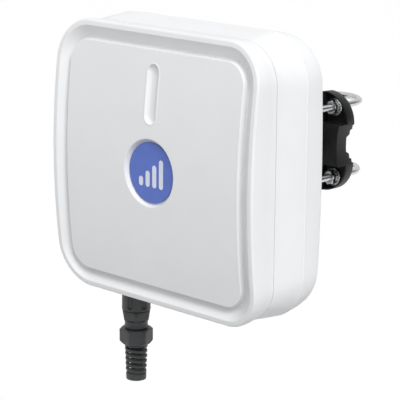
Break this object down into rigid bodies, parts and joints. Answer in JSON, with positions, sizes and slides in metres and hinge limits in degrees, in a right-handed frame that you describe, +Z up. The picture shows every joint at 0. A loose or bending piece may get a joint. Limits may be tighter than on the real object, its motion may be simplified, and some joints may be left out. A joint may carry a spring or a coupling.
{
  "type": "outdoor wireless bridge",
  "caption": "Square weatherproof wireless enclosure with a round badge, sealed cable gland below and a tilting U-bolt mast bracket behind.",
  "frame": {"origin": "on the axis of the vertical mast that the clamp grips, half-way up the clamp", "axes": "-Y is the way the front panel faces, +Z up along the mast, +X to the right seen from the front"},
  "size_m": [0.25, 0.2725, 0.3396],
  "materials": {
    "white_cover": "fine satin moulded texture, UV-stable white",
    "badge_blue": "smooth satin print",
    "bracket_black": "glass-filled nylon, fine spark texture",
    "gland_nylon": "moulded nylon, soft sheen",
    "seal_rubber": "matt",
    "stainless": "bright stainless",
    "sheet_aluminium": "brushed sheet",
    "plated_brass": "bright",
    "circuit_board": "solder-masked laminate",
    "tinned_steel": "tin plate",
    "natural_nylon": "natural nylon"
  },
  "bodies": {
    "bracket": {"mast_plate": "bracket_black", "tilt_arm": "bracket_black", "tilt_bolt": "stainless", "tilt_washer_left": "stainless", "tilt_washer_right": "stainless", "washer_upper_left": "stainless", "washer_upper_right": "stainless", "washer_lower_left": "stainless", "washer_lower_right": "stainless", "arm_screw_1": "stainless", "arm_screw_2": "stainless", "arm_screw_3": "stainless", "arm_screw_4": "stainless"},
    "enclosure": {"front_cover": "white_cover", "rear_housing": "white_cover", "housing_gasket": "seal_rubber", "badge_disc": "badge_blue", "chassis_plate": "sheet_aluminium", "antenna_board": "circuit_board", "main_board": "circuit_board", "rf_shield": "tinned_steel", "ethernet_jack": "tinned_steel", "coax_lead_1": "plated_brass", "coax_lead_2": "plated_brass", "port_receptacle": "gland_nylon", "port_seal": "seal_rubber", "port_lock_nut": "gland_nylon", "plug_body": "gland_nylon", "cable_seal": "seal_rubber", "vent_plug": "gland_nylon", "mount_base": "bracket_black", "cover_screw_1": "stainless", "cover_screw_2": "stainless", "cover_screw_3": "stainless", "cover_screw_4": "stainless", "chassis_screw_1": "stainless", "chassis_screw_2": "stainless", "chassis_screw_3": "stainless", "chassis_screw_4": "stainless", "base_screw_1": "stainless", "base_screw_2": "stainless", "base_screw_3": "stainless", "base_screw_4": "stainless", "patch_element_1": "plated_brass", "patch_element_2": "plated_brass", "patch_element_3": "plated_brass", "patch_element_4": "plated_brass", "antenna_spacer_1": "natural_nylon", "antenna_spacer_2": "natural_nylon", "antenna_spacer_3": "natural_nylon", "antenna_spacer_4": "natural_nylon"},
    "upper_u_bolt": {"u_bolt_upper": "stainless"},
    "lower_u_bolt": {"u_bolt_lower": "stainless"},
    "upper_left_nut": {"nut_upper_left": "stainless"},
    "upper_right_nut": {"nut_upper_right": "stainless"},
    "lower_left_nut": {"nut_lower_left": "stainless"},
    "lower_right_nut": {"nut_lower_right": "stainless"},
    "coupling_ring": {"coupling_ring": "gland_nylon"},
    "clamp_nut": {"clamp_nut": "gland_nylon"},
    "tilt_nut": {"tilt_nut": "stainless"}
  },
  "joints": [
    {"name": "tilt", "type": "hinge", "parent": "bracket", "child": "enclosure", "pos_m": [0, -0.096, 0], "axis": [1, 0, 0], "range_deg": [-30, 30]},
    {"name": "upper_u_bolt_slide", "type": "slide", "parent": "bracket", "child": "upper_u_bolt", "axis": [0, 1, 0], "range_m": [-0.015, 0.03]},
    {"name": "upper_left_nut_turn", "type": "hinge", "parent": "bracket", "child": "upper_left_nut", "pos_m": [-0.029, -0.0285, 0.0333], "axis": [0, 1, 0], "range_deg": [-10800, 5400]},
    {"name": "upper_right_nut_turn", "type": "hinge", "parent": "bracket", "child": "upper_right_nut", "pos_m": [0.029, -0.0285, 0.0333], "axis": [0, 1, 0], "range_deg": [-10800, 5400]},
    {"name": "lower_u_bolt_slide", "type": "slide", "parent": "bracket", "child": "lower_u_bolt", "axis": [0, 1, 0], "range_m": [-0.015, 0.03]},
    {"name": "lower_left_nut_turn", "type": "hinge", "parent": "bracket", "child": "lower_left_nut", "pos_m": [-0.029, -0.0285, -0.0333], "axis": [0, 1, 0], "range_deg": [-10800, 5400]},
    {"name": "lower_right_nut_turn", "type": "hinge", "parent": "bracket", "child": "lower_right_nut", "pos_m": [0.029, -0.0285, -0.0333], "axis": [0, 1, 0], "range_deg": [-10800, 5400]},
    {"name": "coupling_ring_turn", "type": "hinge", "parent": "enclosure", "child": "coupling_ring", "pos_m": [-0.0628, -0.1928, -0.137], "axis": [0, 0, 1], "continuous": true},
    {"name": "clamp_nut_turn", "type": "hinge", "parent": "enclosure", "child": "clamp_nut", "pos_m": [-0.0628, -0.1928, -0.19], "axis": [0, 0, 1], "continuous": true},
    {"name": "tilt_nut_turn", "type": "hinge", "parent": "bracket", "child": "tilt_nut", "pos_m": [-0.0205, -0.096, 0], "axis": [1, 0, 0], "continuous": true}
  ],
  "couplings": [
    {"joint": "upper_left_nut_turn", "follows": "upper_u_bolt_slide", "rad_per_m": -6283.2},
    {"joint": "upper_right_nut_turn", "follows": "upper_u_bolt_slide", "rad_per_m": -6283.2},
    {"joint": "lower_left_nut_turn", "follows": "lower_u_bolt_slide", "rad_per_m": -6283.2},
    {"joint": "lower_right_nut_turn", "follows": "lower_u_bolt_slide", "rad_per_m": -6283.2}
  ]
}
